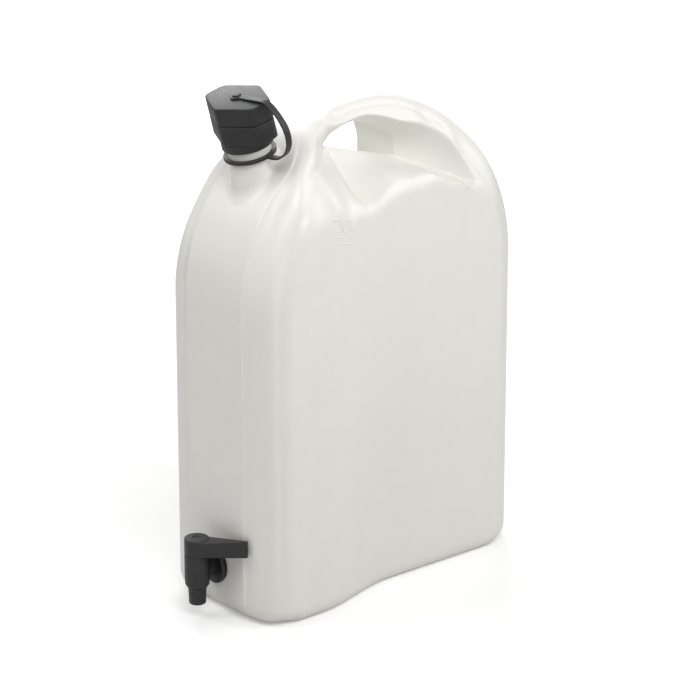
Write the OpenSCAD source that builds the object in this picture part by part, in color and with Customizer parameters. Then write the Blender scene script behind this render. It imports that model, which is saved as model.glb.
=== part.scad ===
// Water jerrycan, 20 litres, with screw cap, tether strap and drain tap.
// Millimetres, +Z up. X runs along the can with the neck and tap at -X; the near broad side is -Y.
// The origin is on the floor, in the middle of the moulded body.

/* [Can body] */
// Half of the body's length, also the radius of its arched top
half_length = 187.5; // [170:0.5:200]
// Height of the body at the top of the arch
body_height = 516; // [470:1:560]
// Half width of the body at its front
front_half_width = 85.5; // [75:0.5:95]
// Half width of the body at the middle of its base
rear_half_width = 60.8; // [52:0.2:70]
// Half width of the handle bar
handle_half_width = 17.5; // [14:0.5:21]
// Half width of the flat band on the narrow front face
front_band = 46; // [35:1:55]
// Corner radius of the side profile at the base
base_corner = 18.5; // [12:0.5:30]
// Fillet between the base and the broad sides
base_fillet = 11.3; // [6:0.1:16]
// Wall thickness
wall = 2.1; // [1.6:0.1:3]
// Width of the solid seam where both halves meet round the hand hole
pinch = 6; // [3:0.5:8]

/* [Hand hole] */
// Middle of the hole along the can
hole_x = 3.6; // [-10:0.1:15]
// Half length of the hole
hole_half = 48; // [44:0.5:54]
// Height of the hole above the crest of its floor
hole_height = 31; // [26:0.5:36]
// Depth of the hole's floor below the top of the body, at the middle of the hole
crest_drop = 58.4; // [50:0.1:66]
// Fall of the crest toward the rear, per millimetre
crest_fall = 0.29; // [0:0.01:0.4]

/* [Neck] */
// Tilt of the neck toward the front, in degrees
neck_tilt = 14.8; // [0:0.1:25]
// Radius of the neck outside
neck_r = 22.5; // [20:0.5:25]
// Radius of the filling opening
mouth_r = 19.5; // [17:0.5:21]
// Height of the neck rim above the strap's loop
rim_h = 30; // [26:0.5:34]
// Radius of the neck at its foot
foot_r = 27; // [24:0.5:30]

/* [Nut and cap] */
// Half length of the six-sided pieces across the can
hex_end = 38; // [33:0.5:42]
// Half width of their short end faces
hex_end_half = 12.5; // [9:0.5:17]
// Half width of the six-sided pieces along the can
hex_waist = 30; // [27.5:0.5:34]
// Radius of their upright corners
hex_corner = 9; // [4:0.5:12]
// Height of the nut's six-sided part
nut_h = 20.5; // [16:0.5:24]
// Height of the cap
cap_h = 19.5; // [16:0.5:24]
// Radius of the nut's skirt
skirt_r = 26.5; // [25:0.5:28]
// Height of the nut's skirt
skirt_h = 10.5; // [5:0.5:13]
// Radius of the nut's spigot under the cap
spigot_r = 19; // [17:0.5:21]
// Thickness of the gaskets
gasket_t = 2; // [1:0.5:3]

/* [Strap] */
// Width of the strap
strap_w = 7; // [5:0.5:9]
// Thickness of the strap
strap_t = 1.6; // [1:0.1:2.2]
// Direction of the strap, in degrees from the near side toward the rear
strap_turn = 6; // [0:1:12]

/* [Tap] */
// Distance of the tap's axis in front of the body
tap_reach = 25; // [24:0.5:32]
// Height of the stem's axis above the floor
stem_z = 50; // [46:0.5:56]
// Radius of the barrel and of the knob
barrel_r = 12.9; // [12:0.1:14]
// Radius of the turning plug
plug_r = 8.5; // [7.5:0.1:9.2]
// Length of the lever from the tap's axis
lever_length = 59; // [45:1:62]
// Direction of the closed lever, in degrees from +X
lever_turn = -67; // [-75:1:-66]

/* [Hidden] */
$fn = 64;
arch_z = body_height - half_length;
crest_height = body_height - crest_drop;
ray_x = hole_x;
ray_z = crest_height + hole_height * 0.355;
neck_x = -0.73387 * half_length;
neck_z = arch_z + 0.81387 * half_length;
fit_gap = 0.05;
seat_gap = 0.3;
band_rear = 8.2;
scoop_z = crest_height - 57.6;
fold_x = 70;
fold_half = 24;
fold_width = 40;
smooth_k = 6;
tap_x = -half_length - tap_reach;

white = [0.93, 0.93, 0.91];
black = [0.16, 0.16, 0.17];
seal = [0.10, 0.10, 0.10];

function clip(v, lo, hi) = min(max(v, lo), hi);

// Joins the smaller of two values with a soft turn of size k.
function soft_min(a, b, k) =
    let (h = clip(0.5 + 0.5 * (b - a) / k, 0, 1))
    b + (a - b) * h - k * h * (1 - h);

// Smooth steps between stations: xs are the places, ys the values there.
function steps(x, xs, ys, i = 0) =
    x <= xs[0] ? ys[0] :
    i >= len(xs) - 1 ? ys[len(ys) - 1] :
    x > xs[i + 1] ? steps(x, xs, ys, i + 1) :
    let (t = (x - xs[i]) / (xs[i + 1] - xs[i]))
    ys[i] + (ys[i + 1] - ys[i]) * t * t * (3 - 2 * t);

function crest(x) = crest_height - crest_fall * (x - hole_x);

// Height of the scoop's wavy lower edge on the near side.
function scoop_edge(x) =
    crest_height - steps(x, [-68, -45, 0, 39, 82, 108], [24.6, 34.6, 15.6, 17.6, 33.6, 43.6]);

// Half width of the plain body, wedge-shaped at the base and blunter above.
function plan_width(x, z) =
    let (base = steps(x, [-115, 2], [front_half_width, rear_half_width]),
         upper = front_half_width - 23.7 * clip((x + 98) / 221, 0, 1),
         t = clip((z - 51) / 247, 0, 1),
         f = t * t * (3 - 2 * t))
    base * (1 - f) + upper * f;

// Distance inward from the side profile.
function inset(x, z) =
    let (d = z > arch_z ? half_length - norm([x, z - arch_z]) : half_length - abs(x),
         c = clip(z, 0, base_corner),
         r = base_corner)
    d - (r - sqrt(r * r - (r - c) * (r - c)));

// Size of the hand hole's outline through a point; 1 is the hole's edge.
function hole_gauge(x, z, grow = 0) =
    let (u = (x - hole_x) / (hole_half + 3 * grow),
         v = max(z - crest(x) + grow, 0) / (hole_height + 2 * grow),
         n = steps(u, [-0.4, 0.4], [1.6, 2.6]))
    pow(pow(abs(u), n) + pow(v, n) + 1e-9, 1 / n);

// Half width from the outside inward: flat band, rounded rim, broad side.
function rim_width(x, z, far) =
    let (d = max(inset(x, z), 0),
         band = steps(x, [-129, -67, 113, 175], [front_band, band_rear, band_rear, 12.4]),
         places = far ? [-183, -139, -98, -62, -39, 15, 62, 103, 144]
                      : [-183, -139, -98, -62, -39, 31, 67, 103, 144],
         f = front_half_width,
         h = handle_half_width,
         r = rear_half_width,
         side = steps(x, places, [f, 0.9357 * f, 0.7251 * f, 0.3509 * f, h, h,
                                  r * (far ? 0.7401 : 0.4276), r * (far ? 0.921 : 0.7237), 1.0033 * r]),
         depth = steps(x, [-187, -154, -103, -51, 41, 134], [27, 39, 31, 13, 13, 49]),
         first = steps(x, [-124, -88], [1.2, 0]),
         q = clip((d - first) / depth, 0, 1),
         rim = d < first ? band : band + (side - band) * sqrt(1 - (1 - q) * (1 - q)))
    soft_min(rim + max(d - 0.6 * depth, 0) * 0.75, plan_width(x, z), smooth_k);

// Half width from the hand hole outward: hole wall, scoop floor and front flank.
function hole_width(x, z, far) =
    let (c = crest(x),
         e = norm([x - hole_x, max(z - c, 0)]) * max(1 - 1 / hole_gauge(x, z), 0),
         slope = far ? steps(x, [-57, -26, 26, 46], [0.9, 1.2, 1.2, 3.6])
                     : steps(x, [-57, -26, 26, 82], [0.9, 1.2, 1.2, 0.8]),
         turn = far ? steps(x, [-57, -26, 26, 46], [1, 3.3, 3.3, 4.5])
                    : steps(x, [-57, -26, 26, 82], [1, 3.3, 3.3, 0.5]),
         drop = max(c - z, 0),
         edge = scoop_edge(x),
         depth = max(c - edge, 4.6),
         floor_y = far ? 3.5 * drop
                       : plan_width(x, edge) * pow(drop / depth, steps(x, [-31, 21], [1.5, 1])),
         front = hole_x - hole_half,
         slant = 0.85 * max(front + 0.4 - x, 0) + 1.6 * max(crest_height + 13.4 - z, 0),
         flank = min(5 * max(front + 5.4 - 0.2 * (crest_height + 15.4 - z) - x, 0), slant))
    max(slope * e + turn * sqrt(e), floor_y, flank);

function half_width(x, z, far) =
    let (w = soft_min(rim_width(x, z, far), hole_width(x, z, far), smooth_k - 1),
         c = clip(z, 0, base_fillet),
         r = base_fillet)
    max(w - (r - sqrt(r * r - (r - c) * (r - c))), 0);

// Half width of the cavity: the least of the half widths nearby, less the wall.
// The wall is left thick in the far corner behind the hand hole, where the moulding folds.
function inner_width(x, z, far) =
    let (reach = z > scoop_z ? 2 * wall : 1.2 * wall,
         fold = far && abs(x - fold_x) < fold_half && z > crest(x) - fold_half,
         w = min([for (s = [[0, 0], [reach, 0], [-reach, 0], [0, reach], [0, -reach]])
                     half_width(x + s[0], z + s[1], far)]) - wall)
    max(fold ? min(w, fold_width) : w, seat_gap);

// Distances from the ray's start to the side profile and to the hole's edge.
function profile_at(dx, dz, grow, lo = 0, hi = 2 * body_height, n = 31) =
    n == 0 ? lo :
    let (m = (lo + hi) / 2,
         x = ray_x + m * dx,
         z = ray_z + m * dz,
         within = z > grow && inset(x, z) > grow)
    profile_at(dx, dz, grow, within ? m : lo, within ? hi : m, n - 1);

function hole_at(dx, dz, grow, lo = 0, hi = 2 * hole_half, n = 26) =
    n == 0 ? lo :
    let (m = (lo + hi) / 2,
         x = ray_x + m * dx,
         z = ray_z + m * dz,
         within = z > crest(x) - grow && hole_gauge(x, z, grow) < 1)
    hole_at(dx, dz, grow, within ? m : lo, within ? hi : m, n - 1);

// Points of the side profile at which the skin has its stations.
function profile_stations(base_n, side_n, arch_n) =
    let (r = base_corner, a = half_length)
    concat(
        [for (i = [0 : base_n - 1]) [-a + r + 2 * (a - r) * i / base_n, 0]],
        [for (i = [0 : 3]) [a - r + r * sin(22.5 * i), r - r * cos(22.5 * i)]],
        [for (i = [0 : side_n - 1]) [a, r + (arch_z - r) * i / side_n]],
        [for (i = [0 : arch_n - 1]) [a * cos(180 * i / arch_n), arch_z + a * sin(180 * i / arch_n)]],
        [for (i = [0 : side_n - 1]) [-a, arch_z - (arch_z - r) * i / side_n]],
        [for (i = [0 : 3]) [-a + r - r * cos(22.5 * i), r - r * sin(22.5 * i)]]);

// Closed ring of points round the section through one station.
function section(p, fractions, grow) =
    let (d = norm([p[0] - ray_x, p[1] - ray_z]),
         dx = (p[0] - ray_x) / d,
         dz = (p[1] - ray_z) / d,
         a = profile_at(dx, dz, grow),
         b = hole_at(dx, dz, grow > 0 ? pinch : 0),
         n = len(fractions))
    concat(
        [for (i = [0 : n - 1])
            let (m = a + (b - a) * fractions[i], x = ray_x + m * dx, z = ray_z + m * dz)
            [x, i == n - 1 ? 0 : grow > 0 ? -inner_width(x, z, false) : -half_width(x, z, false), z]],
        [for (i = [n - 2 : -1 : 0])
            let (m = a + (b - a) * fractions[i], x = ray_x + m * dx, z = ray_z + m * dz)
            [x, grow > 0 ? inner_width(x, z, true) : half_width(x, z, true), z]]);

// Solid through a closed row of sections, joined round the hand hole.
module ring_solid(stations, fractions, grow) {
    rows = [for (p = stations) section(p, fractions, grow)];
    m = len(rows);
    k = len(rows[0]);
    faces = [for (i = [0 : m - 1], j = [0 : k - 1])
        let (a = i * k + j,
             b = ((i + 1) % m) * k + j,
             c = ((i + 1) % m) * k + (j + 1) % k,
             d = i * k + (j + 1) % k)
        each [[a, c, b], [a, d, c]]];
    polyhedron(points = [for (r = rows) each r], faces = faces);
}

outer_fractions = [0, 0.004, 0.012, 0.03, 0.06, 0.1, 0.16, 0.25, 0.36, 0.48, 0.6, 0.72, 0.82, 0.89,
                   0.93, 0.95, 0.962, 0.974, 0.985, 0.995, 1];
inner_fractions = [0, 0.02, 0.06, 0.14, 0.28, 0.45, 0.62, 0.76, 0.86, 0.92, 0.95, 0.97, 0.985, 1];

module neck_place() {
    translate([neck_x, 0, neck_z])
        rotate([0, -neck_tilt, 0])
            children();
}

module tap_place() {
    translate([tap_x, 0, 0])
        children();
}

// Places a shape drawn upward so that it points along -X at the stem's height.
module stem_place() {
    translate([-half_length, 0, stem_z])
        rotate([0, -90, 0])
            children();
}

boss_r = 18;
boss_length = 16;
shank_r = 13.2;
neck_depth = 50;
neck_straight = 3;

module can_body() {
    color(white)
    difference() {
        union() {
            difference() {
                union() {
                    ring_solid(profile_stations(9, 8, 50), outer_fractions, 0);
                    neck_place()
                        rotate_extrude()
                            polygon([[0, rim_h], [neck_r, rim_h], [neck_r, -neck_straight],
                                     [foot_r, -neck_depth + 4], [0, -neck_depth + 4]]);
                }
                ring_solid(profile_stations(5, 5, 38), inner_fractions, wall);
            }
            stem_place()
                translate([0, 0, -boss_length])
                    cylinder(r = boss_r, h = boss_length);
        }
        neck_place()
            translate([0, 0, -neck_depth - 2])
                cylinder(r = mouth_r, h = neck_depth + rim_h + 4);
        stem_place()
            translate([0, 0, -boss_length - 1])
                cylinder(r = shank_r + fit_gap, h = boss_length + 2);
    }
}

// Heights along the neck are counted from the middle of the strap's loop.
nut_ceiling = rim_h + gasket_t;
nut_bottom = nut_ceiling + 9 - nut_h;
nut_top = nut_bottom + nut_h;
cap_bottom = nut_top + 0.5;
cap_top = cap_bottom + cap_h;
shell = 2.6;
spigot_bore = 15;
spigot_top = cap_top - 3.5 - gasket_t;

// Six-sided plan with rounded upright corners, its sides moved inward by less.
function hex_points(less) =
    let (r = max(hex_corner - less, 1),
         s = r + less,
         run = hex_waist - hex_end_half,
         side = norm([run, hex_end]),
         // Way each corner moves inward when the sides move inward by one millimetre.
         end_shift = (side - run) / hex_end,
         waist_shift = side / hex_end,
         x = hex_end_half - s * end_shift,
         y = hex_end - s,
         w = hex_waist - s * waist_shift,
         lean = atan2(run, hex_end),
         middles = [[w, 0], [x, y], [-x, y], [-w, 0], [-x, -y], [x, -y]],
         from = [-lean, lean, 90, 180 - lean, 180 + lean, 270],
         to = [lean, 90, 180 - lean, 180 + lean, 270, 360 - lean])
    [for (i = [0 : 5], k = [0 : 5])
        let (t = from[i] + (to[i] - from[i]) * k / 5)
        middles[i] + r * [cos(t), sin(t)]];

module hex_plan(less = 0) {
    polygon(hex_points(less));
}

module neck_nut() {
    color(black)
    neck_place()
    difference() {
        union() {
            translate([0, 0, nut_bottom])
                difference() {
                    linear_extrude(height = nut_h)
                        hex_plan();
                    translate([0, 0, -1])
                        linear_extrude(height = nut_h - shell + 1)
                            hex_plan(shell);
                }
            translate([0, 0, nut_bottom - skirt_h])
                cylinder(r = skirt_r, h = skirt_h + nut_h - 1);
            translate([0, 0, nut_top - 1])
                cylinder(r = spigot_r, h = spigot_top - nut_top + 1);
        }
        translate([0, 0, nut_bottom - skirt_h - 1])
            cylinder(r = neck_r + fit_gap, h = nut_ceiling - nut_bottom + skirt_h + 1);
        cylinder(r = spigot_bore, h = spigot_top + 1);
    }
}

module nut_gasket() {
    color(seal)
    neck_place()
    translate([0, 0, rim_h])
        difference() {
            cylinder(r = neck_r - 0.2, h = gasket_t);
            translate([0, 0, -1])
                cylinder(r = mouth_r - 2, h = gasket_t + 2);
        }
}

pin_r = 3;
eye_r = 7;
eye_base = cap_top + seat_gap;

module closing_cap() {
    color(black)
    neck_place() {
        difference() {
            translate([0, 0, cap_bottom])
                linear_extrude(height = cap_h)
                    hex_plan();
            difference() {
                translate([0, 0, cap_bottom - 1])
                    linear_extrude(height = cap_h - shell + 1)
                        hex_plan(shell);
                translate([0, 0, cap_bottom - 2])
                    cylinder(r = spigot_r + fit_gap + 3, h = cap_h + 2);
            }
            translate([0, 0, cap_bottom - 1])
                cylinder(r = spigot_r + fit_gap, h = spigot_top + gasket_t - cap_bottom + 1);
        }
        translate([0, 0, cap_top - 1])
            cylinder(r = pin_r, h = 1 + seat_gap + strap_t + 0.6);
        translate([0, 0, eye_base + strap_t + 0.2])
            cylinder(r1 = pin_r + 1.6, r2 = pin_r + 0.8, h = 1.4);
    }
}

module cap_gasket() {
    color(seal)
    neck_place()
    translate([0, 0, spigot_top])
        cylinder(r = spigot_r - 0.2, h = gasket_t);
}

strap_reach = 1.63 * hex_end;
strap_end = eye_base + strap_t / 2 + 0.1;

// Middle line of the strap: shares of its reach from the neck's axis and of the height of its end.
strap_path = [[0.408, 0], [0.604, 0], [0.75, 0.048], [0.881, 0.145], [0.971, 0.289], [1, 0.45],
              [0.976, 0.611], [0.905, 0.756], [0.808, 0.884], [0.71, 0.969], [0.62, 1.008],
              [0.489, 1.011], [0.294, 1.003], [0.082, 1]];

// Point of a smooth curve through four of the path's points.
function curve(a, b, c, d, t) =
    0.5 * (2 * b + (c - a) * t + (2 * a - 5 * b + 4 * c - d) * t * t
           + (3 * b - a - 3 * c + d) * t * t * t);
function along(p, n) =
    let (last = len(p) - 1)
    [for (i = [0 : last - 1], k = [0 : n - 1])
        curve(p[max(i - 1, 0)], p[i], p[i + 1], p[min(i + 2, last)], k / n), p[last]];
function shifted(p, s) =
    [for (i = [0 : len(p) - 1])
        let (d = p[min(i + 1, len(p) - 1)] - p[max(i - 1, 0)])
        p[i] + s * [-d[1], d[0]] / norm(d)];

module tether_strap() {
    line = along([for (p = strap_path) [strap_reach * p[0], strap_end * p[1]]], 3);
    upper = shifted(line, strap_t / 2);
    lower = shifted(line, -strap_t / 2);
    color(black)
    neck_place()
    difference() {
        union() {
            difference() {
                translate([0, 0, -1.6])
                    cylinder(r = neck_r + 4.6, h = 3.2);
                translate([0, 0, -3])
                    cylinder(r = neck_r + 0.7, h = 6);
            }
            rotate(strap_turn - 90)
                translate([0, strap_w / 2, 0])
                    rotate([90, 0, 0])
                        linear_extrude(height = strap_w)
                            polygon(concat(upper, [for (i = [len(lower) - 1 : -1 : 0]) lower[i]]));
            translate([0, 0, eye_base])
                cylinder(r = eye_r, h = strap_t);
        }
        translate([0, 0, eye_base - 1])
            cylinder(r = pin_r + 0.1, h = strap_t + 4);
    }
}

nozzle_z = 13.8;
barrel_z = 34;
barrel_top = 68.5;
knob_top = 86.5;
plug_floor = 38;
nozzle_bore = 5.5;
inlet_r = 5;
washer_t = 2;
flange_r = 19;
flange_t = 4;
stem_r = 9.5;

module tap_body() {
    color(black)
    difference() {
        union() {
            tap_place()
                rotate_extrude()
                    polygon([[0, nozzle_z], [7.8, nozzle_z], [8.8, nozzle_z + 1.2], [9.4, barrel_z - 3.5],
                             [9.9, barrel_z - 3], [9.9, barrel_z], [11.4, barrel_z],
                             [barrel_r - 0.4, barrel_z + 1.6], [barrel_r, barrel_z + 8],
                             [barrel_r, barrel_top], [0, barrel_top]]);
            stem_place() {
                translate([0, 0, -boss_length + 1])
                    cylinder(r = shank_r, h = boss_length + washer_t);
                translate([0, 0, washer_t])
                    rotate_extrude()
                        polygon([[0, 0], [flange_r, 0], [flange_r, flange_t - 1.5],
                                 [flange_r - 2, flange_t], [0, flange_t]]);
                cylinder(r = stem_r, h = tap_reach - 4);
            }
        }
        tap_place() {
            translate([0, 0, nozzle_z - 1])
                cylinder(r = nozzle_bore, h = barrel_top - nozzle_z);
            translate([0, 0, plug_floor])
                cylinder(r = plug_r + fit_gap, h = barrel_top - plug_floor + 1);
        }
        stem_place()
            translate([0, 0, -boss_length - 1])
                cylinder(r = inlet_r, h = boss_length + tap_reach + 1);
    }
}

// Turning plug: its port faces sideways while closed and meets the inlet after a quarter turn.
module tap_plug() {
    lever_rise = 6;
    lever_foot = barrel_top + seat_gap + 0.4;
    lever_top = knob_top - 1.4;
    lever_h = 17.5;
    root = barrel_r - 2.4;
    color(black)
    tap_place()
    difference() {
        union() {
            translate([0, 0, plug_floor + seat_gap])
                cylinder(r = plug_r, h = barrel_top - plug_floor);
            translate([0, 0, barrel_top + seat_gap])
                cylinder(r = barrel_r, h = knob_top - barrel_top - seat_gap - 0.8);
            translate([0, 0, knob_top - 0.8])
                cylinder(r1 = barrel_r, r2 = barrel_r - 0.8, h = 0.8);
            // Wedge-shaped lever, cut from a plate that rises slightly to its tip.
            rotate(lever_turn)
                intersection() {
                    translate([0, 0, barrel_top])
                        linear_extrude(height = 40)
                            polygon([[0, -barrel_r + 0.6], [lever_length, -1.6],
                                     [lever_length, 1.6], [0, barrel_r - 0.6]]);
                    translate([0, barrel_r, 0])
                        rotate([90, 0, 0])
                            linear_extrude(height = 2 * barrel_r)
                                polygon([[0, lever_foot], [root, lever_foot],
                                         [lever_length + 1, lever_foot + lever_rise],
                                         [lever_length + 1, lever_foot + lever_rise + lever_h],
                                         [root, lever_top], [0, lever_top]]);
                }
        }
        translate([0, 0, plug_floor - 1])
            cylinder(r = nozzle_bore - 0.5, h = stem_z + inlet_r + 2 - plug_floor);
        translate([0, 0, stem_z])
            rotate([0, 90, 90])
                cylinder(r = inlet_r - 0.5, h = barrel_r);
        translate([0, 0, knob_top - 0.7])
            cylinder(r = 4.5, h = 2);
    }
}

module tap_washer() {
    color(seal)
    stem_place()
    difference() {
        cylinder(r = flange_r - 1, h = washer_t);
        translate([0, 0, -1])
            cylinder(r = shank_r + 0.3, h = washer_t + 2);
    }
}

can_body();
neck_nut();
nut_gasket();
closing_cap();
cap_gasket();
tether_strap();
tap_body();
tap_plug();
tap_washer();
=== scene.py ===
import bpy
import bmesh
import math
import numpy as np
from mathutils import Matrix, Vector


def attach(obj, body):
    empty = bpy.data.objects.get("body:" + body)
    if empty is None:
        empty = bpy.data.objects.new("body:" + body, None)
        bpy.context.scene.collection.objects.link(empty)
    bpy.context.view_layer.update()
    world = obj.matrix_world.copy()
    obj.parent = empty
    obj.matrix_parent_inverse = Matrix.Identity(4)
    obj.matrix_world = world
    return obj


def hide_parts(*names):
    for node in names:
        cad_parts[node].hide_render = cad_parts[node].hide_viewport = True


# %% [markdown]
# # A water jerrycan
# The can is blown in one piece from natural polyethylene, so it has no joins except the thin line
# where the two mould halves met. Everything black is moulded and screwed or snapped on. The frame
# from the CAD model is loaded first, because every piece below keeps to its places and its box.
# The can gets a new and finer mesh from rules, the black pieces are the CAD solids with rounded
# outlines, and all finishes are made of nodes.

# %% Load the frame
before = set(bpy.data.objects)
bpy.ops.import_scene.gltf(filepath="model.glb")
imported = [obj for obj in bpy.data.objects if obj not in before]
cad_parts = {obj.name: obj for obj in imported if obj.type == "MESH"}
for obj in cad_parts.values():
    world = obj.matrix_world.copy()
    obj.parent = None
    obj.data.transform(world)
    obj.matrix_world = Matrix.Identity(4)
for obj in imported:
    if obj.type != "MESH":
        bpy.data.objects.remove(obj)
scene = bpy.context.scene
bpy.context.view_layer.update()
MM = 0.001

# %% [markdown]
# ## Camera
# The picture was taken from the front left and a little above, with a long lens. The camera is
# placed first: its direction, distance and lens were found by matching the can's outline. By eye
# this is hard, because a longer lens and a greater distance look almost alike, so all of them were
# fitted together.

# %% Camera
AZIMUTH, ELEVATION = math.radians(-40.2), math.radians(19.1)
DISTANCE = 3.296
AIM = Vector((-0.041715, -0.03296, 0.2575))
FOCAL_PIXELS, PICTURE_PIXELS = 3200, 700
AIM_SHIFT = (5 / FOCAL_PIXELS, 2 / FOCAL_PIXELS)
SENSOR_MM = 36

back = Vector((math.sin(AZIMUTH) * math.cos(ELEVATION),
               -math.cos(AZIMUTH) * math.cos(ELEVATION),
               math.sin(ELEVATION)))
right = Vector((math.cos(AZIMUTH), math.sin(AZIMUTH), 0))
up = back.cross(right)
camera = bpy.data.objects.new("camera", bpy.data.cameras.new("camera"))
scene.collection.objects.link(camera)
scene.camera = camera
camera.location = (AIM + back * DISTANCE
                   + right * AIM_SHIFT[0] * DISTANCE + up * AIM_SHIFT[1] * DISTANCE)
camera.rotation_euler = Matrix((right, up, back)).transposed().to_euler()
camera.data.sensor_width = SENSOR_MM
camera.data.lens = SENSOR_MM * (FOCAL_PIXELS / PICTURE_PIXELS)
camera.data.clip_end = 20
print("camera at", [round(v, 3) for v in camera.location], "lens", round(camera.data.lens, 1))

# %% [markdown]
# ## Node helpers
# Every finish below is built from a few kinds of nodes. These helpers keep the cells short: one
# adds a node, one makes noise at a given size in the object's own space, and one turns a value into
# bump.

# %% Helpers for materials
NOISE_LOW, NOISE_HIGH = 0.3, 0.7


def new_material(name):
    """Returns a node material, its node tree and its shader."""
    mat = bpy.data.materials.new(name)
    mat.use_nodes = True
    return mat, mat.node_tree, mat.node_tree.nodes["Principled BSDF"]


def add(tree, kind, inputs=None, **settings):
    """Adds a node, sets its properties and its inputs, which are values or sockets."""
    node = tree.nodes.new(kind)
    for key, value in settings.items():
        setattr(node, key, value)
    for key, value in (inputs or {}).items():
        if isinstance(value, bpy.types.NodeSocket):
            tree.links.new(value, node.inputs[key])
        else:
            node.inputs[key].default_value = value
    return node


def noise(tree, scale, detail):
    """Noise in the object's own coordinates; scale is in waves a metre."""
    place = add(tree, "ShaderNodeTexCoord")
    made = add(tree, "ShaderNodeTexNoise",
               {"Vector": place.outputs["Object"], "Scale": scale, "Detail": detail})
    return made.outputs["Fac"]


def spread(tree, value, low, high):
    """Maps a value that lies round one half to the range low to high."""
    made = add(tree, "ShaderNodeMapRange", {"Value": value, "From Min": NOISE_LOW,
                                            "From Max": NOISE_HIGH, "To Min": low, "To Max": high})
    return made.outputs["Result"]


def blend_colours(tree, factor, first, second):
    """Mixes two colours by a factor."""
    made = add(tree, "ShaderNodeMix", {"Factor": factor}, data_type="RGBA")
    made.inputs["A"].default_value = (*first, 1)
    made.inputs["B"].default_value = (*second, 1)
    return made.outputs["Result"]


def bump(tree, shader, height, strength, distance, under=None):
    """Adds bump from a height value on top of an earlier normal and returns the new normal."""
    made = add(tree, "ShaderNodeBump",
               {"Height": height, "Strength": strength, "Distance": distance})
    if under is not None:
        tree.links.new(under, made.inputs["Normal"])
    tree.links.new(made.outputs["Normal"], shader.inputs["Normal"])
    return made.outputs["Normal"]


# %% Helpers for pieces
def finish_piece(obj, body, material):
    """Links a finished piece to its body and its material."""
    if obj.name not in scene.collection.objects:
        scene.collection.objects.link(obj)
    obj.data.materials.clear()
    obj.data.materials.append(material)
    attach(obj, body)


def mesh_piece(name, points, faces, smooth=True):
    """Makes a mesh object from points and faces."""
    mesh = bpy.data.meshes.new(name)
    mesh.from_pydata([tuple(p) for p in points], [], [tuple(f) for f in faces])
    mesh.update()
    if smooth:
        mesh.polygons.foreach_set("use_smooth", [True] * len(mesh.polygons))
    return bpy.data.objects.new(name, mesh)


# %% [markdown]
# ## White polyethylene
# Natural polyethylene is a milky white. Slow waves from the blowing and a fine pebbled skin from
# the mould break up its shine. Both are bump from noise, because they are too low for the mesh.
# Light that scatters under the surface would look milky too, but where two forms overlap in one
# mesh it leaves dark rings, so a pale base colour does the work.

# %% Material for the can
WHITE_LOW, WHITE_HIGH = (0.803, 0.795, 0.748), (0.833, 0.825, 0.778)
WHITE_ROUGHNESS = (0.30, 0.36)
CLOUD_SCALE, FINE_CLOUD_SCALE = 9, 60
WAVE_SCALE, WAVE_STRENGTH, WAVE_HEIGHT = 12, 0.1, 1.5 * MM
GRAIN_SCALE, GRAIN_STRENGTH, GRAIN_HEIGHT = 420, 0.15, 0.3 * MM
PLASTIC_IOR = 1.5

can_white, tree, shader = new_material("milky_polyethylene")
cloud = add(tree, "ShaderNodeMath",
            {0: noise(tree, CLOUD_SCALE, 2), 1: noise(tree, FINE_CLOUD_SCALE, 3)}, operation="ADD")
cloud = add(tree, "ShaderNodeMath", {0: cloud.outputs[0], 1: 0.5}, operation="MULTIPLY")
tone = blend_colours(tree, spread(tree, cloud.outputs[0], 0, 1), WHITE_LOW, WHITE_HIGH)
tree.links.new(tone, shader.inputs["Base Color"])
satin = spread(tree, noise(tree, FINE_CLOUD_SCALE, 4), *WHITE_ROUGHNESS)
tree.links.new(satin, shader.inputs["Roughness"])
shader.inputs["IOR"].default_value = PLASTIC_IOR
waves = bump(tree, shader, noise(tree, WAVE_SCALE, 2), WAVE_STRENGTH, WAVE_HEIGHT)
bump(tree, shader, noise(tree, GRAIN_SCALE, 2), GRAIN_STRENGTH, GRAIN_HEIGHT, waves)
print("nodes in the can's material:", len(tree.nodes))

# %% [markdown]
# ## Black plastic and rubber
# The nut, the cap, the strap and the tap are dark moulded plastic with a satin grain. One function
# makes all of them, and only the colour and the roughness differ. The seals are darker and duller.

# %% Materials for the black pieces
PLASTIC_LOW, PLASTIC_HIGH = (0.018, 0.018, 0.019), (0.028, 0.028, 0.029)
RUBBER_LOW, RUBBER_HIGH = (0.012, 0.012, 0.012), (0.020, 0.020, 0.020)
TINT_SCALE, SATIN_SCALE, ROUGHNESS_SPREAD = 40, 220, 0.03
SKIN_SCALE, SKIN_STRENGTH, SKIN_HEIGHT = 2600, 0.15, 0.1 * MM
BLACK_SPECULAR = 0.35
EDGE_RADIUS = 1.0 * MM


def black_plastic(name, low, high, rough):
    """Dark moulded plastic with a fine satin grain and slightly rounded edges."""
    mat, tree, shader = new_material(name)
    tone = blend_colours(tree, spread(tree, noise(tree, TINT_SCALE, 4), 0, 1), low, high)
    tree.links.new(tone, shader.inputs["Base Color"])
    satin = spread(tree, noise(tree, SATIN_SCALE, 3),
                   rough - ROUGHNESS_SPREAD, rough + ROUGHNESS_SPREAD)
    tree.links.new(satin, shader.inputs["Roughness"])
    shader.inputs["Specular IOR Level"].default_value = BLACK_SPECULAR
    edge = add(tree, "ShaderNodeBevel", {"Radius": EDGE_RADIUS}, samples=6)
    bump(tree, shader, noise(tree, SKIN_SCALE, 2), SKIN_STRENGTH, SKIN_HEIGHT,
         edge.outputs["Normal"])
    return mat


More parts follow.
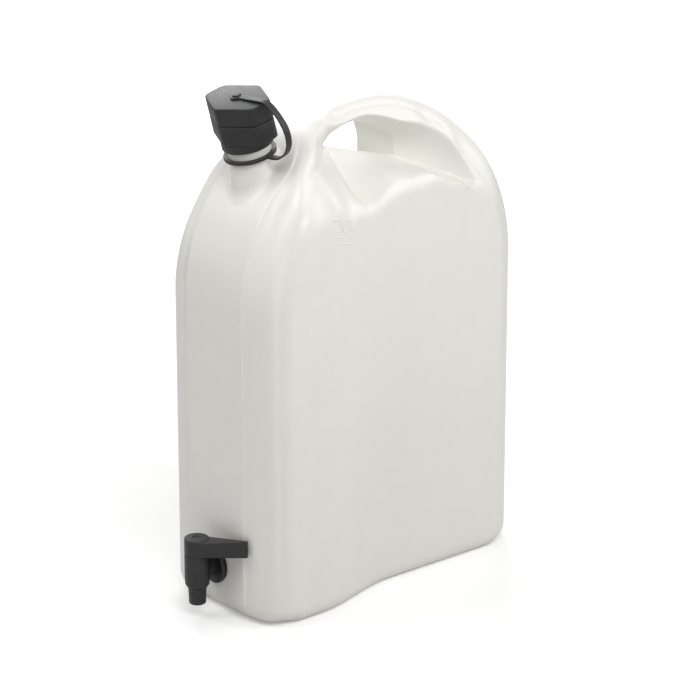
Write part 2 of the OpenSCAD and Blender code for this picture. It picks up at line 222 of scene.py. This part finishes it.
closure_black = black_plastic("closure_black", PLASTIC_LOW, PLASTIC_HIGH, 0.5)
tap_black = black_plastic("tap_black", PLASTIC_LOW, PLASTIC_HIGH, 0.45)
seal_black = black_plastic("seal_rubber", RUBBER_LOW, RUBBER_HIGH, 0.8)
for node, material in (("neck_nut", closure_black), ("closing_cap", closure_black),
                       ("tether_strap", closure_black), ("tap_body", tap_black),
                       ("tap_plug", tap_black), ("nut_gasket", seal_black),
                       ("cap_gasket", seal_black), ("tap_washer", seal_black)):
    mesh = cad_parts[node].data
    mesh.materials.clear()
    mesh.materials.append(material)
print("materials:", len(bpy.data.materials))

# %% [markdown]
# ## The shape of the can
# The blown shell can be described as two height fields over its side profile: at each place the
# near half stands out toward -Y by one width and the far half toward +Y by another. The width is
# the smaller of the outer form (a flat front band, a rounded rim and a broad side) and of what the
# hand hole and its scoop leave. The form could be sculpted, or lofted from curves. Rules were
# chosen, because they give the same form each time and let one size change alone. They are those of
# the CAD model, meshed much finer, with a softer valley in front of the hand hole and a steeper far
# wall at its rear end.

# %% Sizes of the can, in millimetres
HALF, HEIGHT = 187.5, 516.0
ARCH_Z = HEIGHT - HALF
CORNER, FILLET = 18.5, 11.3
# Half a millimetre less than in the CAD model, so that the raised level mark stays in its box.
FRONT_HALF_WIDTH = 85.0
REAR_HALF_WIDTH, HANDLE_HALF_WIDTH = 60.8, 17.5
HOLE_X, HOLE_HALF, HOLE_HEIGHT = 3.6, 48.0, 31.0
CREST, CREST_FALL = 457.6, 0.29
print("length, height and front width of the can:", 2 * HALF, HEIGHT, 2 * FRONT_HALF_WIDTH)

# %% [markdown]
# ## Profile, plan and hand hole
# A moulded form has few corners, so most of its sizes change in smooth steps between stations along
# X. One function makes such steps from a pair of rows: the places, and the values there. The side
# profile is a rectangle under a round arch, and the plan narrows toward the rear.

# %% Profile and plan
BASE_TAPER = (-115, 2)
UPPER_TAPER, UPPER_START, UPPER_LENGTH = 23.7, -98, 221
PLAN_TURN_Z, PLAN_TURN_HEIGHT = 51, 247
HOLE_SQUARENESS = ((-0.4, 0.4), (1.6, 2.6))


def ease(t):
    """A smooth step from 0 to 1."""
    return t * t * (3 - 2 * t)


def steps(x, places, values):
    """Smooth steps between stations."""
    x = np.asarray(x, float)
    places, values = np.array(places, float), np.array(values, float)
    i = np.clip(np.searchsorted(places, x) - 1, 0, len(places) - 2)
    t = ease(np.clip((x - places[i]) / (places[i + 1] - places[i]), 0, 1))
    return values[i] * (1 - t) + values[i + 1] * t


def soft_min(a, b, size):
    """The smaller of two values with a soft turn between them."""
    h = np.clip(0.5 + 0.5 * (b - a) / size, 0, 1)
    return b + (a - b) * h - size * h * (1 - h)


def rounding(z, radius):
    """How far a rounded foot of this radius lies inward at a height."""
    c = np.clip(z, 0, radius)
    return radius - np.sqrt(np.maximum(radius ** 2 - (radius - c) ** 2, 0))


def inset(x, z):
    """Distance inward from the side profile."""
    d = np.where(z > ARCH_Z, HALF - np.hypot(x, np.maximum(z - ARCH_Z, 0)), HALF - np.abs(x))
    return d - rounding(z, CORNER)


def plan_width(x, z):
    """Half width of the broad sides, a wedge at the base and blunter above."""
    base = steps(x, BASE_TAPER, (FRONT_HALF_WIDTH, REAR_HALF_WIDTH))
    upper = FRONT_HALF_WIDTH - UPPER_TAPER * np.clip((x - UPPER_START) / UPPER_LENGTH, 0, 1)
    f = ease(np.clip((z - PLAN_TURN_Z) / PLAN_TURN_HEIGHT, 0, 1))
    return base * (1 - f) + upper * f


def crest(x):
    """Height of the hand hole's floor."""
    return CREST - CREST_FALL * (x - HOLE_X)


def hole_gauge(x, z):
    """1 on the hand hole's edge, more outside it."""
    u = (x - HOLE_X) / HOLE_HALF
    v = np.maximum(z - crest(x), 0) / HOLE_HEIGHT
    n = steps(u, *HOLE_SQUARENESS)
    return (np.abs(u) ** n + v ** n + 1e-12) ** (1 / n)


print("hand hole's floor at its front and rear:",
      [round(float(crest(HOLE_X + side * HOLE_HALF)), 1) for side in (-1, 1)])

# %% [markdown]
# ## Rim and scoop
# From the side profile inward the surface starts as a flat band, turns through a rounded rim and
# comes out on the broad side. Toward the hand hole it falls again into a valley. The near side has
# the deep scoop that leaves room for the fingers, and the far side only a steep floor.

# %% Rim
BAND_CHAMFER = 1.4
BAND_WIDTH = ((-129, -67, 113, 175), (46.0, 8.2, 8.2, 12.4))
NEAR_RIM = ((-183, -139, -98, -62, -39, 31, 67, 103, 144),
            (85.5, 80, 62, 30, HANDLE_HALF_WIDTH, HANDLE_HALF_WIDTH, 26, 44, 61))
FAR_RIM = ((-183, -139, -98, -62, -39, 15, 62, 103, 144),
           (85.5, 80, 62, 30, HANDLE_HALF_WIDTH, HANDLE_HALF_WIDTH, 45, 56, 61))
RIM_DEPTH = ((-187, -154, -103, -51, 41, 134), (27, 39, 31, 13, 13, 49))
CHAMFER_DEPTH = ((-124, -88), (1.2, 0))
SWELL_FROM, SWELL_SLOPE = 0.6, 0.75
RIM_SOFTNESS = 6.0


def rim_width(x, z, far):
    """Half width from the flat band over the rounded rim to the broad side."""
    d = np.maximum(inset(x, z), 0)
    band = steps(x, *BAND_WIDTH)
    side = steps(x, *(FAR_RIM if far else NEAR_RIM))
    depth = steps(x, *RIM_DEPTH)
    first = steps(x, *CHAMFER_DEPTH)
    q = np.clip((d - first) / depth, 0, 1)
    edge = BAND_CHAMFER * np.minimum(d, first)
    rim = band + edge + (side - band - edge) * np.sqrt(np.maximum(1 - (1 - q) ** 2, 0))
    swell = np.maximum(d - SWELL_FROM * depth, 0) * SWELL_SLOPE
    return soft_min(rim + swell, plan_width(x, z), RIM_SOFTNESS)


# %% Hand hole and scoop
NEAR_SLOPE = ((-57, -26, 26, 82), (0.9, 1.2, 1.2, 0.8))
NEAR_TURN = ((-57, -26, 26, 82), (1, 3.3, 3.3, 0.5))
FAR_SLOPE = ((-57, -26, 26, 46), (0.9, 1.2, 1.2, 8.0))
FAR_TURN = ((-57, -26, 26, 46), (1, 3.3, 3.3, 4.5))
FAR_FLOOR_SLOPE = 3.5
SCOOP_EDGE = ((-68, -45, 0, 39, 82, 108), (433, 423, 442, 440, 424, 414))
SCOOP_LEAST_DROP, SCOOP_POWER = 4.6, ((-31, 21), (1.5, 1))
SHOULDER_X, SHOULDER_Z, SHOULDER_SLOPES = -44, 471, (0.85, 1.6)
FLANK_X, FLANK_Z, FLANK_LEAN, FLANK_SLOPE = -39, 473, 0.2, 5
VALLEY_SOFTNESS = ((-66, -42), (15.0, 5.0))
FAR_EXTRA_SOFTNESS = ((30, 60), (0.0, 9.0))


def hole_width(x, z, far):
    """Half width that the hand hole and its scoop leave."""
    c = crest(x)
    e = np.hypot(x - HOLE_X, np.maximum(z - c, 0)) * np.maximum(1 - 1 / hole_gauge(x, z), 0)
    drop = np.maximum(c - z, 0)
    if far:
        slope, turn = steps(x, *FAR_SLOPE), steps(x, *FAR_TURN)
        floor = FAR_FLOOR_SLOPE * drop
    else:
        slope, turn = steps(x, *NEAR_SLOPE), steps(x, *NEAR_TURN)
        edge = steps(x, *SCOOP_EDGE)
        share = drop / np.maximum(c - edge, SCOOP_LEAST_DROP)
        floor = plan_width(x, edge) * share ** steps(x, *SCOOP_POWER)
    slant = (SHOULDER_SLOPES[0] * np.maximum(SHOULDER_X - x, 0)
             + SHOULDER_SLOPES[1] * np.maximum(SHOULDER_Z - z, 0))
    flank = np.minimum(FLANK_SLOPE * np.maximum(FLANK_X - FLANK_LEAN * (FLANK_Z - z) - x, 0), slant)
    return np.maximum(np.maximum(slope * e + turn * np.sqrt(e), floor), flank)


def half_width(x, z, far):
    """Half width of the shell on the near or the far side."""
    softness = steps(x, *VALLEY_SOFTNESS)
    if far:
        softness = softness + steps(x, *FAR_EXTRA_SOFTNESS)
    w = soft_min(rim_width(x, z, far), hole_width(x, z, far), softness)
    return np.maximum(w - rounding(z, FILLET), 0)


print("half widths at the can's middle:",
      [round(float(half_width(0.0, HEIGHT / 2, far)), 1) for far in (False, True)])

# %% [markdown]
# ## Meshing the shell
# The surface is laid out as a ring of sections round the hand hole. Each section runs from the side
# profile to the hole's edge on the near side and back on the far side, with more points where the
# form turns quickly. A plain grid over the side view would leave jagged edges at the profile and
# the hole. A row of points across the flat band closes the ring on the outside, and the points on
# the hole's edge lie a little deeper, which makes the thin seam.

# %% Shell mesh
STATIONS, TRIAL_STATIONS = 400, 6000
RAY_X, RAY_Z = HOLE_X, CREST + 11
PROFILE_REACH, HOLE_REACH, HALVINGS = 700.0, 100.0, 44
OUTER_SHARE, INNER_SHARE = 0.6, 0.4
BAND_POINTS = 20
SEAM_DEPTH = 0.9
SECTION = np.concatenate([[0, 0.0012, 0.0025, 0.0045, 0.007], np.linspace(0.01, 0.2, 16),
                          np.linspace(0.22, 0.8, 24), np.linspace(0.815, 0.985, 22),
                          [0.991, 0.996, 0.9985, 1]])


def bisect(dx, dz, test, reach):
    """Distance along each ray up to which a test holds."""
    low, high = np.zeros_like(dx), np.full_like(dx, reach)
    for _ in range(HALVINGS):
        mid = (low + high) / 2
        ok = test(RAY_X + mid * dx, RAY_Z + mid * dz)
        low, high = np.where(ok, mid, low), np.where(ok, high, mid)
    return low


def ring_ends(angle):
    """Points on the side profile and on the hole's edge in each direction from the hole."""
    dx, dz = np.cos(angle), np.sin(angle)
    outer = bisect(dx, dz, lambda x, z: (z > 0) & (inset(x, z) > 0), PROFILE_REACH)
    inner = bisect(dx, dz, lambda x, z: (z > crest(x)) & (hole_gauge(x, z) < 1), HOLE_REACH)
    return (np.stack([RAY_X + outer * dx, RAY_Z + outer * dz], -1),
            np.stack([RAY_X + inner * dx, RAY_Z + inner * dz], -1))


def path_share(points):
    """Share of a path's length that is reached at each point."""
    run = np.concatenate([[0], np.cumsum(np.hypot(*np.diff(points, axis=0).T))])
    return run / run[-1]


def shell_rows(count):
    """Closed sections round the hand hole, spaced by the length of its edge and the profile."""
    angle = np.linspace(0, 2 * math.pi, TRIAL_STATIONS, endpoint=False)
    outer, inner = ring_ends(angle)
    share = path_share(outer) * OUTER_SHARE + path_share(inner) * INNER_SHARE
    picked = np.interp(np.linspace(0, 1, count, endpoint=False), share, angle)
    outer, inner = ring_ends(picked)
    x = outer[:, :1] * (1 - SECTION) + inner[:, :1] * SECTION
    z = outer[:, 1:] * (1 - SECTION) + inner[:, 1:] * SECTION
    near, far = half_width(x, z, False), half_width(x, z, True)
    near[:, -1] = 0
    toward = outer - inner
    x[:, -1] += SEAM_DEPTH * toward[:, 0] / np.hypot(*toward.T)
    z[:, -1] += SEAM_DEPTH * toward[:, 1] / np.hypot(*toward.T)
    across = np.linspace(-1, 1, BAND_POINTS + 2)[1:-1]
    band = np.stack([np.repeat(x[:, :1], BAND_POINTS, 1),
                     across * np.where(across < 0, near[:, :1], far[:, :1]),
                     np.repeat(z[:, :1], BAND_POINTS, 1)], -1)
    return np.concatenate([np.stack([x, -near, z], -1),
                           np.stack([x, far, z], -1)[:, -2::-1],
                           band[:, ::-1]], 1)


rows = shell_rows(STATIONS)
print("shell points:", rows.shape[0] * rows.shape[1])

# %% [markdown]
# ## Neck
# The neck is part of the same moulding and leans forward. It is a turned form with a thread, and
# its foot flares into the shoulder. A Boolean and a bevel could round that corner, but they break
# easily on so fine a mesh. The fillet is a curved strip of its own instead, whose two edges lie
# just under the surfaces of the neck and the shell.

# %% Places round the neck
NECK = np.array((-137.6, 0.0, 481.1))
TILT = math.radians(14.8)
NECK_AXIS = np.array((-math.sin(TILT), 0, math.cos(TILT)))
NECK_SIDE = np.array((math.cos(TILT), 0, math.sin(TILT)))
NECK_R, MOUTH_R, FOOT_R, RIM_H = 22.5, 19.5, 27.0, 30.0
NECK_STRAIGHT, NECK_DEPTH = 3.0, 46.0


def neck_radius(h):
    """Radius of the neck, which widens below its straight part."""
    share = np.clip((-h - NECK_STRAIGHT) / (NECK_DEPTH - NECK_STRAIGHT), 0, 1)
    return NECK_R + (FOOT_R - NECK_R) * share


def beside_neck(radius, angle, height):
    """Place at a radius, an angle and a height round the neck's axis."""
    return (NECK + (radius * np.cos(angle))[..., None] * NECK_SIDE
            + (radius * np.sin(angle))[..., None] * np.array((0, 1, 0))
            + np.asarray(height)[..., None] * NECK_AXIS)


def ring_faces(count, turns):
    """Faces between closed rings of points, from the first ring to the last."""
    return [(i * turns + j, i * turns + (j + 1) % turns, (i + 1) * turns + (j + 1) % turns,
             (i + 1) * turns + j) for i in range(count - 1) for j in range(turns)]


print("middle of the neck's rim:", np.round(NECK + RIM_H * NECK_AXIS, 1).tolist())

# %% Turned neck with its thread
RIM_ROUND = 0.6
THREAD_PITCH, THREAD_H = 4.0, 0.9
THREAD_START, THREAD_END = 12.5, RIM_H - 1.5
INSIDE_H, COLLAR_H, ROOT_END_H = -20.0, 10.0, 11


def neck_mesh(turns=96):
    """Turned neck with its thread, from the mouth's inside over the rim down into the shoulder."""
    root = NECK_R - THREAD_H
    profile = [(MOUTH_R, INSIDE_H), (MOUTH_R, RIM_H - RIM_ROUND), (MOUTH_R + RIM_ROUND, RIM_H),
               (NECK_R - 1.4, RIM_H), (root, RIM_H - RIM_ROUND)]
    profile += [(root, h) for h in np.arange(RIM_H - 1, ROOT_END_H, -0.4)]
    profile += [(NECK_R - 0.4, COLLAR_H + 0.6), (NECK_R, COLLAR_H), (NECK_R, 0.0)]
    profile += [(float(neck_radius(h)), h) for h in np.linspace(-NECK_STRAIGHT, -NECK_DEPTH, 14)]
    profile = np.array(profile)
    angle = np.linspace(0, 2 * math.pi, turns, endpoint=False)
    r = np.repeat(profile[:, 0][:, None], turns, 1)
    h = np.repeat(profile[:, 1][:, None], turns, 1)
    wave = np.cos((h / THREAD_PITCH - angle / (2 * math.pi)) * 2 * math.pi)
    on_thread = (h > THREAD_START) & (h < THREAD_END) & (r < NECK_R) & (r > MOUTH_R + 1)
    r = r + np.where(on_thread, np.clip(wave - 0.3, 0, 0.5) * 2 * THREAD_H, 0)
    places = beside_neck(r, np.repeat(angle[None], len(profile), 0), h)
    return places.reshape(-1, 3), ring_faces(len(profile), turns)


neck_points, neck_faces = neck_mesh()
print("neck points:", len(neck_points))

# %% Fillet at the neck's foot
FOOT_FILLET = 10.0
SINK_IN_NECK, SINK_IN_SHELL = 0.1, 0.15
SEARCH_LOW, SEARCH_HIGH, SEARCH_HALVINGS = -90.0, 20.0, 36
CORNER_ROUNDS = 20


def inside_shell(place):
    """True where a place lies inside the moulded form."""
    x, y, z = place[..., 0], place[..., 1], place[..., 2]
    width = np.where(y > 0, half_width(x, z, True), half_width(x, z, False))
    return (np.abs(y) < width) & (inset(x, z) > 0)


def shell_height(radius, angle):
    """Height along the neck at which a line beside its axis leaves the shell."""
    low, high = np.full(radius.shape, SEARCH_LOW), np.full(radius.shape, SEARCH_HIGH)
    for _ in range(SEARCH_HALVINGS):
        mid = (low + high) / 2
        within = inside_shell(beside_neck(radius, angle, mid))
        low, high = np.where(within, mid, low), np.where(within, high, mid)
    return low


def foot_mesh(turns=120, bends=14):
    """The soft fillet in which the neck's foot flares into the shoulder."""
    angle = np.linspace(0, 2 * math.pi, turns, endpoint=False)
    radius = np.full(turns, FOOT_R)
    for _ in range(CORNER_ROUNDS):
        corner = shell_height(radius, angle)
        radius = (radius + neck_radius(corner)) / 2
    up_h = corner + FOOT_FILLET
    up_r = neck_radius(up_h) - SINK_IN_NECK
    out_r = radius + FOOT_FILLET
    out_h = shell_height(out_r, angle) - SINK_IN_SHELL
    t = np.linspace(0, 1, bends)[:, None]
    r = (1 - t) ** 2 * up_r + 2 * t * (1 - t) * radius + t ** 2 * out_r
    h = (1 - t) ** 2 * up_h + 2 * t * (1 - t) * corner + t ** 2 * out_h
    places = beside_neck(r, np.repeat(angle[None], bends, 0), h)
    return places.reshape(-1, 3), ring_faces(bends, turns)


foot_points, foot_faces = foot_mesh()
print("fillet points:", len(foot_points))

# %% [markdown]
# ## Level mark
# The mould has raised lettering for the filling level on the near side. Every stroke is a low
# rounded ridge that follows the shell, so the mark catches the light as moulded relief does. A
# text object is flat and would have to be bent over the shell, while a stroke that starts as a path
# takes its height from the shell's own rule.

# %% Ridge along a path
STROKE_R, STROKE_FLATNESS = 0.75, 0.7


def ridge(path, sides=8, step=0.5):
    """A low rounded ridge along a path of x and z on the near side."""
    path = np.array(path, float)
    run = np.concatenate([[0], np.cumsum(np.hypot(*np.diff(path, axis=0).T))])
    at = np.linspace(0, run[-1], max(int(run[-1] / step), 4))
    x, z = np.interp(at, run, path[:, 0]), np.interp(at, run, path[:, 1])
    middle = np.stack([x, -half_width(x, z, False), z], -1)
    along = np.gradient(middle, axis=0)
    along /= np.linalg.norm(along, axis=1)[:, None]
    across = np.cross(along, np.array((0, -1.0, 0)))
    across /= np.linalg.norm(across, axis=1)[:, None]
    out = np.cross(across, along)
    out *= np.sign(-out[:, 1])[:, None]
    size = STROKE_R * np.sqrt(np.clip(np.minimum(at, run[-1] - at) / STROKE_R, 0, 1))
    turn = np.linspace(0, 2 * math.pi, sides, endpoint=False)
    rings = (middle[:, None] + (size[:, None] * np.cos(turn))[..., None] * across[:, None]
             + (STROKE_FLATNESS * size[:, None] * np.sin(turn))[..., None] * out[:, None])
    return rings.reshape(-1, 3), ring_faces(len(rings), sides)


# %% Letters and dashes
MARK_X, MARK_Z, MARK_SLOPE = -100.0, 410.5, 0.2
LETTER_W, LETTER_H = 8.5, 12.5
LETTER_SHIFTS = {"two": 0, "nought": 11.5, "litre": 24.5}
DASHES = [[(9, -13), (24, -13)], [(4, -6), (13, -6)]]


def arc(cx, cy, rx, ry, start, end, count=20):
    """Points on an arc of an ellipse, with its ends in degrees."""
    angle = np.radians(np.linspace(start, end, count))
    return [(cx + rx * math.cos(a), cy + ry * math.sin(a)) for a in angle]


letters = {
    "two": arc(0.5, 0.7, 0.48, 0.3, 165, -40) + [(0.05, 0.0), (1.0, 0.0)],
    "nought": arc(0.5, 0.5, 0.48, 0.5, 0, 360, 40),
    "litre": [(0.0, 1.0), (0.0, 0.0), (0.85, 0.0)],
}
strokes = [[(shift + LETTER_W * u, LETTER_H * v) for u, v in letters[name]]
           for name, shift in LETTER_SHIFTS.items()]
mark_pieces = [ridge([(MARK_X + u, MARK_Z + v - MARK_SLOPE * u) for u, v in stroke])
               for stroke in strokes + DASHES]
print("strokes of the level mark:", len(mark_pieces))

# %% [markdown]
# ## One object for the can
# Shell, neck, fillet and mark are put into one mesh, because the real can is one moulding. It takes
# the place of the coarse CAD solid, which stays in the physics model.

# %% Can object
MERGE_DISTANCE = 1e-6

n_rows, n_ring = rows.shape[:2]
shell_faces = []
for i in range(n_rows):
    a, b = i * n_ring, (i + 1) % n_rows * n_ring
    for j in range(n_ring):
        k = (j + 1) % n_ring
        shell_faces.append((a + j, b + j, b + k, a + k))
all_points, all_faces = [], []
for points, faces in [(rows.reshape(-1, 3), shell_faces), (neck_points, neck_faces),
                      (foot_points, foot_faces), *mark_pieces]:
    first = sum(len(p) for p in all_points)
    all_faces += [tuple(first + v for v in face) for face in faces]
    all_points.append(points)
can = mesh_piece("can_shell", np.concatenate(all_points) * MM, all_faces)
bm = bmesh.new()
bm.from_mesh(can.data)
bmesh.ops.remove_doubles(bm, verts=bm.verts, dist=MERGE_DISTANCE)
bmesh.ops.recalc_face_normals(bm, faces=bm.faces)
bm.to_mesh(can.data)
bm.free()
finish_piece(can, "can", can_white)
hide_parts("can_body")
print("can faces:", len(can.data.polygons))

# %% [markdown]
# ## Softened edges
# Moulded edges are never sharp. Where the cap meets the nut and the knob meets the barrel, the
# outlines get a real rounding, so the joints between the pieces show as dark grooves. A rounding in
# the material alone would leave the outline sharp, and a Bevel modifier would round every edge. So
# the edges are picked by their height along the piece's axis and their distance from it.

# %% Rounding of outlines
RING_TOLERANCE = 0.06
SHARP_ANGLE, SMOOTH_ANGLE, FLAT_ANGLE = 0.7, math.radians(20), math.radians(1)


def on_ring(edge, foot, axis, height, least):
    """True for an edge that lies at one height along an axis and outside a radius."""
    for vertex in edge.verts:
        away = np.array(vertex.co) / MM - foot
        up_by = away @ axis
        beside = np.linalg.norm(away - up_by * axis)
        if abs(up_by - height) > RING_TOLERANCE or beside < least:
            return False
    return len(edge.link_faces) == 2 and edge.calc_face_angle() > SHARP_ANGLE


def soften(node, foot, axis, rings, body, material):
    """Copies a CAD piece, rounds its outlines at some heights and puts the copy in its place."""
    bm = bmesh.new()
    bm.from_mesh(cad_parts[node].data)
    bmesh.ops.remove_doubles(bm, verts=bm.verts, dist=MERGE_DISTANCE)
    bmesh.ops.dissolve_limit(bm, angle_limit=FLAT_ANGLE, verts=bm.verts, edges=bm.edges)
    for height, least, width in rings:
        picked = [edge for edge in bm.edges if on_ring(edge, foot, axis, height, least)]
        bmesh.ops.bevel(bm, geom=picked, offset=width * MM, segments=3, profile=0.5,
                        affect="EDGES", clamp_overlap=False)
        print(node, "edges rounded at", height, "mm:", len(picked))
    made = mesh_piece(node + "_soft", [], [])
    for face in bm.faces:
        face.smooth = True
    for edge in bm.edges:
        edge.smooth = len(edge.link_faces) == 2 and edge.calc_face_angle() < SMOOTH_ANGLE
    bm.to_mesh(made.data)
    bm.free()
    finish_piece(made, body, material)
    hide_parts(node)


# %% Softened copies of the black pieces
# Each ring is a height along the axis, the least radius there and the width of the rounding.
CAP_RINGS = [(41.5, 28, 1.1), (61.0, 28, 0.9)]
NUT_RINGS = [(41.0, 28, 1.1), (20.5, 27.5, 0.8), (10.0, 26, 0.6)]
BARREL_RINGS = [(68.5, 12.7, 0.7), (13.8, 7.6, 0.5)]
KNOB_RINGS = [(68.8, 12.7, 0.35)]
UP = np.array((0.0, 0.0, 1.0))
TAP = np.array((-212.5, 0.0, 0.0))

soften("closing_cap", NECK, NECK_AXIS, CAP_RINGS, "cap", closure_black)
soften("neck_nut", NECK, NECK_AXIS, NUT_RINGS, "nut", closure_black)
soften("tap_body", TAP, UP, BARREL_RINGS, "can", tap_black)
soften("tap_plug", TAP, UP, KNOB_RINGS, "tap_lever", tap_black)

# %% [markdown]
# ## Background and lamps
# A soft studio light: one lamp from the front left, one from the front right, and two from behind
# that brighten the top and the inside of the hand hole. The white background is seen by the camera
# and in reflections only, so it adds no light to the can.

# %% World
WORLD_LIGHT = 0.16
WHITE = (1, 1, 1, 1)

world = bpy.data.worlds.new("studio")
scene.world = world
world.use_nodes = True
tree = world.node_tree
tree.nodes.clear()
path = add(tree, "ShaderNodeLightPath")
seen = add(tree, "ShaderNodeMath", {0: path.outputs["Is Camera Ray"],
                                    1: path.outputs["Is Glossy Ray"]}, operation="MAXIMUM")
seen = add(tree, "ShaderNodeMath", {0: seen.outputs[0],
                                    1: path.outputs["Is Transmission Ray"]}, operation="MAXIMUM")
light = add(tree, "ShaderNodeBackground", {"Color": WHITE, "Strength": WORLD_LIGHT})
plain = add(tree, "ShaderNodeBackground", {"Color": WHITE, "Strength": 1.0})
both = add(tree, "ShaderNodeMixShader", {0: seen.outputs[0], 1: light.outputs[0],
                                         2: plain.outputs[0]})
add(tree, "ShaderNodeOutputWorld", {"Surface": both.outputs[0]})
print("nodes in the world:", len(tree.nodes))

# %% Lamps
LAMP_AIM = (0, 0, 0.25)
# Each lamp has its place and its side in metres and its power in watts.
LAMPS = {
    "front_lamp": ((-0.5, -0.9, 1.3), 0.8, 10.5),
    "right_lamp": ((0.75, -0.75, 1.0), 0.8, 6.3),
    "back_lamp": ((0.9, 1.6, 1.6), 1.2, 22),
    "left_lamp": ((-0.9, 0.6, 1.3), 0.8, 7.8),
}


def lamp(name, place, size, power):
    """A square soft lamp that looks at the middle of the can."""
    data = bpy.data.lights.new(name, "AREA")
    data.size = size
    data.energy = power
    obj = bpy.data.objects.new(name, data)
    scene.collection.objects.link(obj)
    obj.location = place
    obj.rotation_euler = (Vector(place) - Vector(LAMP_AIM)).to_track_quat("Z", "Y").to_euler()


for name, (place, size, power) in LAMPS.items():
    lamp(name, place, size, power)
print("lamps:", len(LAMPS))

# %% [markdown]
# ## Floor
# The pale floor keeps the can's shadow. Away from the can it glows for the camera alone, so that it
# runs into the white background without an edge.

# %% Floor
FLOOR_HALF, FLOOR_DROP = 6, 0.0002
FLOOR_LOW, FLOOR_HIGH = (0.79, 0.79, 0.79), (0.81, 0.81, 0.81)
GLOW_NEAR, GLOW_FAR = 0.28, 1.0
GLOW_START, GLOW_END = 0.3, 2.0

corners = [(x * FLOOR_HALF, y * FLOOR_HALF, 0) for x, y in ((-1, -1), (1, -1), (1, 1), (-1, 1))]
floor = mesh_piece("floor", corners, [(0, 1, 2, 3)], False)
floor.location.z = -FLOOR_DROP
scene.collection.objects.link(floor)
floor_white, tree, shader = new_material("pale_floor")
tone = blend_colours(tree, noise(tree, 3, 2), FLOOR_LOW, FLOOR_HIGH)
tree.links.new(tone, shader.inputs["Base Color"])
shader.inputs["Roughness"].default_value = 0.9
shader.inputs["Specular IOR Level"].default_value = 0.2
path = add(tree, "ShaderNodeLightPath")
place = add(tree, "ShaderNodeTexCoord")
away = add(tree, "ShaderNodeVectorMath", {0: place.outputs["Object"]}, operation="LENGTH")
fill = add(tree, "ShaderNodeMapRange",
           {"Value": away.outputs["Value"], "From Min": GLOW_START, "From Max": GLOW_END,
            "To Min": GLOW_NEAR, "To Max": GLOW_FAR}, interpolation_type="SMOOTHSTEP")
glow = add(tree, "ShaderNodeMath", {0: path.outputs["Is Camera Ray"], 1: fill.outputs["Result"]},
           operation="MULTIPLY")
shader.inputs["Emission Color"].default_value = WHITE
tree.links.new(glow.outputs[0], shader.inputs["Emission Strength"])
floor.data.materials.append(floor_white)
scene.view_settings.view_transform = "Standard"
print("floor side in metres:", 2 * FLOOR_HALF)
